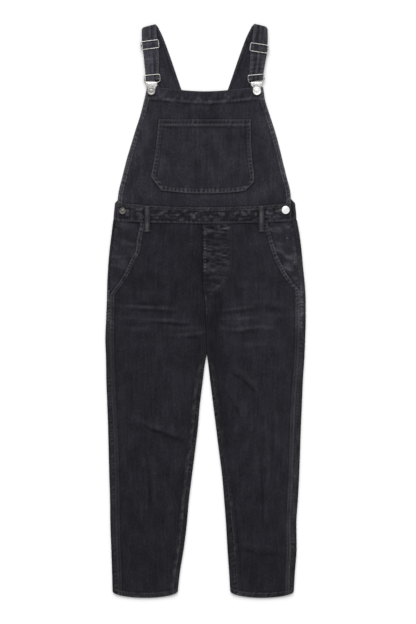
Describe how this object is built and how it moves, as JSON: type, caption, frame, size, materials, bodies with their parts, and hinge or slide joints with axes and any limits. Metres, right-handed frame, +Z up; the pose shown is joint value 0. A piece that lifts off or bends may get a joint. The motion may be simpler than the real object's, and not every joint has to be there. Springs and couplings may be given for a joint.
{
  "type": "bib overalls",
  "caption": "Washed black denim bib overalls laid flat on their back, with tapered legs, a bib pocket, slanted front pockets and straps clipped to the bib.",
  "frame": {"origin": "on the floor, under the middle of the garment's box as it lies", "axes": "+X towards the wearer's left, +Y from the hems up to the straps, +Z up from the floor, through the garment's front"},
  "size_m": [0.4811, 1.3757, 0.0104],
  "materials": {
    "denim": "washed black cotton twill, matte",
    "nickel": "nickel plated, satin",
    "aged_brass": "aged, dull"
  },
  "bodies": {
    "root": {"front_leg_right": "denim", "front_leg_left": "denim", "back_leg_right": "denim", "back_leg_left": "denim", "pocket_facing_right": "denim", "pocket_facing_left": "denim", "front_waistband": "denim", "back_waistband": "denim", "front_bib": "denim", "bib_pocket": "denim", "back_bib": "denim", "strap_right": "denim", "strap_left": "denim", "belt_loop_right": "denim", "belt_loop_left": "denim", "slider_right": "nickel", "slider_left": "nickel", "clip_right": "nickel", "clip_left": "nickel", "bib_button_right": "nickel", "bib_button_left": "nickel", "waist_button_left": "nickel", "waist_button_right": "aged_brass"}
  },
  "joints": []
}
